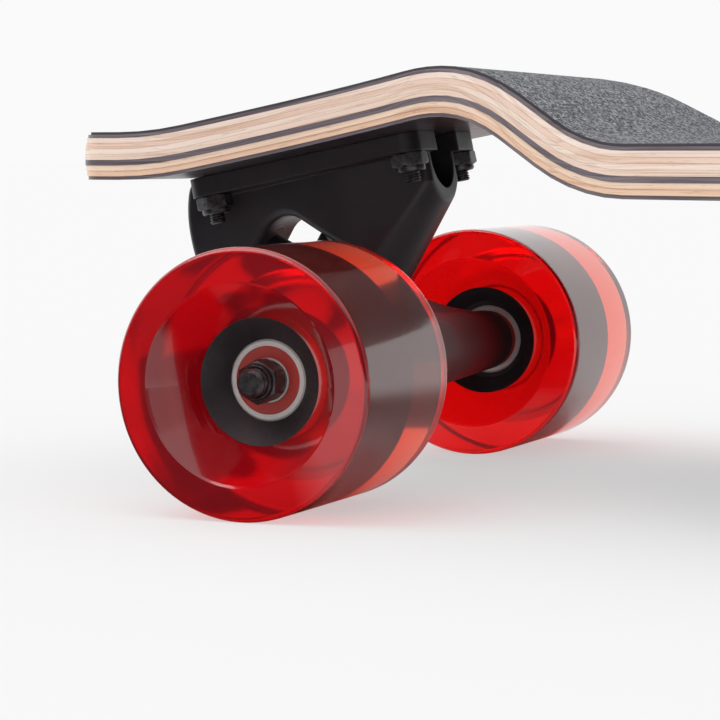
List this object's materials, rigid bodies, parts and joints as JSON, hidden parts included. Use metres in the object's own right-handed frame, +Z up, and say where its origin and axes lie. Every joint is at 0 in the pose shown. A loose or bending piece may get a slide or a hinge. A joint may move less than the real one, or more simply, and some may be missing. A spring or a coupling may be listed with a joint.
{
  "type": "longboard skateboard",
  "caption": "Longboard skateboard: bent laminated deck with a dropped platform and grip sheet, leaning sprung trucks, and translucent red wheels spinning on shielded bearings",
  "frame": {"origin": "on the ground under the middle of the board", "axes": "+X along the board towards the rear truck, +Y across it to its right, +Z up"},
  "size_m": [0.9288, 0.25, 0.1199],
  "materials": {
    "ply_dark": "dark dyed veneer",
    "ply_pale": "clear sealed maple veneer",
    "grip": "coarse grit",
    "cast_black": "satin black on cast aluminium",
    "steel_dark": "black oxide steel",
    "steel_bright": "ground bearing steel",
    "bushing_urethane": "satin urethane",
    "cup_urethane": "satin urethane",
    "wheel_urethane": "glossy translucent urethane",
    "core_plastic": "moulded, satin",
    "shield_red": "satin"
  },
  "bodies": {
    "board": {"deck_ply_1": "ply_dark", "deck_ply_2": "ply_pale", "deck_ply_3": "ply_pale", "deck_ply_4": "ply_pale", "deck_ply_5": "ply_pale", "deck_ply_6": "ply_dark", "deck_ply_7": "ply_pale", "deck_ply_8": "ply_pale", "deck_ply_9": "ply_dark", "grip_sheet": "grip", "front_baseplate": "cast_black", "front_deck_bolts": "steel_dark", "front_deck_nuts": "steel_dark", "front_kingpin": "steel_dark", "front_kingpin_nut": "steel_dark", "front_bushing_washers": "steel_bright", "front_bushing_boardside": "bushing_urethane", "front_bushing_roadside": "bushing_urethane", "front_pivot_cup": "cup_urethane", "rear_baseplate": "cast_black", "rear_deck_bolts": "steel_dark", "rear_deck_nuts": "steel_dark", "rear_kingpin": "steel_dark", "rear_kingpin_nut": "steel_dark", "rear_bushing_washers": "steel_bright", "rear_bushing_boardside": "bushing_urethane", "rear_bushing_roadside": "bushing_urethane", "rear_pivot_cup": "cup_urethane"},
    "front_hanger": {"front_hanger": "cast_black", "front_axle": "steel_dark", "front_axle_nuts": "steel_dark", "front_speed_rings": "steel_dark", "front_bearing_inner_races": "steel_bright", "front_bearing_spacers": "steel_bright"},
    "front_left_wheel": {"front_left_tyre": "wheel_urethane", "front_left_core": "core_plastic", "front_left_bearing_outer_races": "steel_bright", "front_left_bearing_shields": "shield_red"},
    "front_right_wheel": {"front_right_tyre": "wheel_urethane", "front_right_core": "core_plastic", "front_right_bearing_outer_races": "steel_bright", "front_right_bearing_shields": "shield_red"},
    "rear_hanger": {"rear_hanger": "cast_black", "rear_axle": "steel_dark", "rear_axle_nuts": "steel_dark", "rear_speed_rings": "steel_dark", "rear_bearing_inner_races": "steel_bright", "rear_bearing_spacers": "steel_bright"},
    "rear_left_wheel": {"rear_left_tyre": "wheel_urethane", "rear_left_core": "core_plastic", "rear_left_bearing_outer_races": "steel_bright", "rear_left_bearing_shields": "shield_red"},
    "rear_right_wheel": {"rear_right_tyre": "wheel_urethane", "rear_right_core": "core_plastic", "rear_right_bearing_outer_races": "steel_bright", "rear_right_bearing_shields": "shield_red"}
  },
  "joints": [
    {"name": "front_steering", "type": "hinge", "parent": "board", "child": "front_hanger", "pos_m": [-0.4021, 0, 0.0537], "axis": [-0.8746, 0, 0.4848], "range_deg": [-20, 20], "stiffness_Nm_per_rad": 60, "deforming": ["front_bushing_boardside", "front_bushing_roadside"]},
    {"name": "front_left_wheel_spin", "type": "hinge", "parent": "front_hanger", "child": "front_left_wheel", "pos_m": [-0.38, -0.0879, 0.036], "axis": [0, 1, 0], "continuous": true},
    {"name": "front_right_wheel_spin", "type": "hinge", "parent": "front_hanger", "child": "front_right_wheel", "pos_m": [-0.38, 0.0879, 0.036], "axis": [0, 1, 0], "continuous": true},
    {"name": "rear_steering", "type": "hinge", "parent": "board", "child": "rear_hanger", "pos_m": [0.4021, 0, 0.0537], "axis": [0.8746, 0, 0.4848], "range_deg": [-20, 20], "stiffness_Nm_per_rad": 60, "deforming": ["rear_bushing_boardside", "rear_bushing_roadside"]},
    {"name": "rear_left_wheel_spin", "type": "hinge", "parent": "rear_hanger", "child": "rear_left_wheel", "pos_m": [0.38, -0.0879, 0.036], "axis": [0, 1, 0], "continuous": true},
    {"name": "rear_right_wheel_spin", "type": "hinge", "parent": "rear_hanger", "child": "rear_right_wheel", "pos_m": [0.38, 0.0879, 0.036], "axis": [0, 1, 0], "continuous": true}
  ]
}
